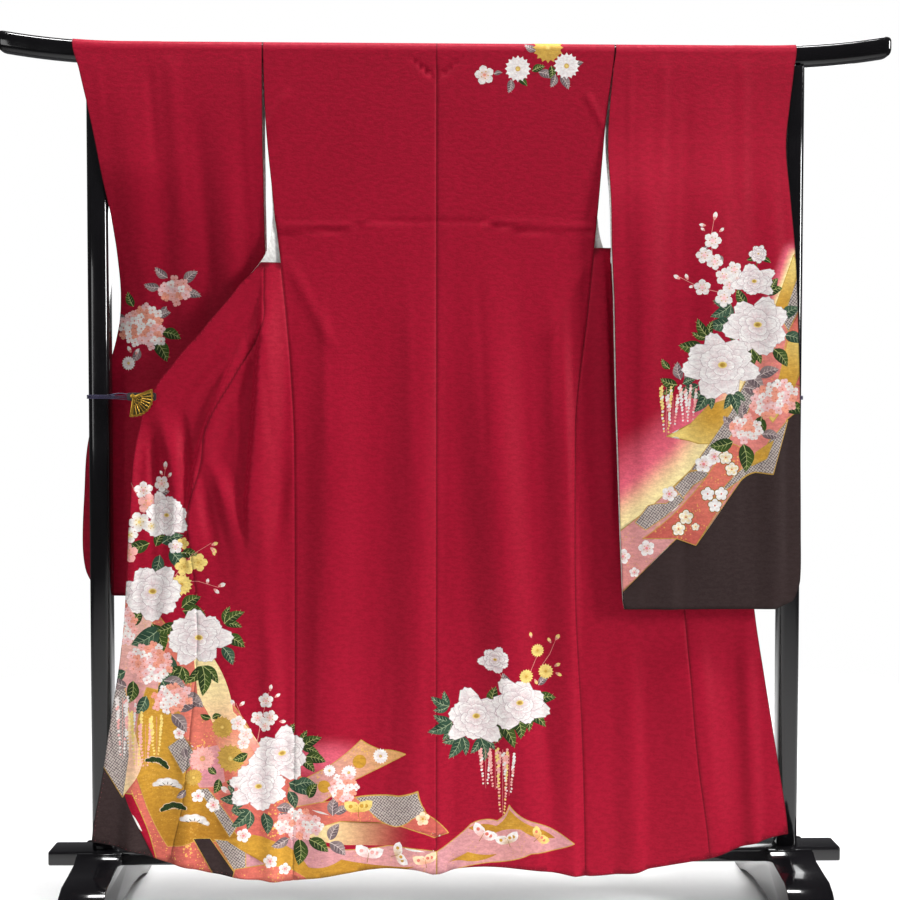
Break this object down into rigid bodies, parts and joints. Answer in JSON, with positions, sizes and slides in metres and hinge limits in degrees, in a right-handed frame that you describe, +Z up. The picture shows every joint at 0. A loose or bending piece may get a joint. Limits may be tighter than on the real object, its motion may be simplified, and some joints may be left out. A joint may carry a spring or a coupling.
{
  "type": "furisode kimono on a kimono stand",
  "caption": "Long-sleeved formal silk kimono spread back outward over the rail of a lacquered display stand, one front drawn aside by a clip.",
  "frame": {"origin": "on the floor under the middle of the stand, which is the middle of the whole object's box", "axes": "+Z up; the back of the garment, which is the displayed side, faces -Y; +X is to the right of someone looking at it"},
  "size_m": [1.69, 0.444, 1.6737],
  "materials": {
    "silk": "figured silk crepe with a painted flower design",
    "lacquer": "gloss black lacquer",
    "clip": "satin black",
    "cord": "twisted dark blue silk cord",
    "gilt": "gilt relief with dark recesses"
  },
  "bodies": {
    "root": {"back_left": "silk", "back_right": "silk", "front_left_lower": "silk", "okumi_left": "silk", "front_right_lower": "silk", "okumi_right": "silk", "front_left_upper": "silk", "front_right_upper": "silk", "sleeve_left_back": "silk", "sleeve_left_front": "silk", "sleeve_right_back": "silk", "sleeve_right_front": "silk", "collar_left": "silk", "collar_right": "silk", "collar_back": "silk", "rail": "lacquer", "post_left": "lacquer", "post_right": "lacquer", "crossbar": "lacquer", "foot_left": "lacquer", "foot_right": "lacquer", "clip_left": "clip", "clip_right": "clip", "cord_left": "cord", "cord_right": "cord", "fan_left": "gilt"}
  },
  "joints": []
}
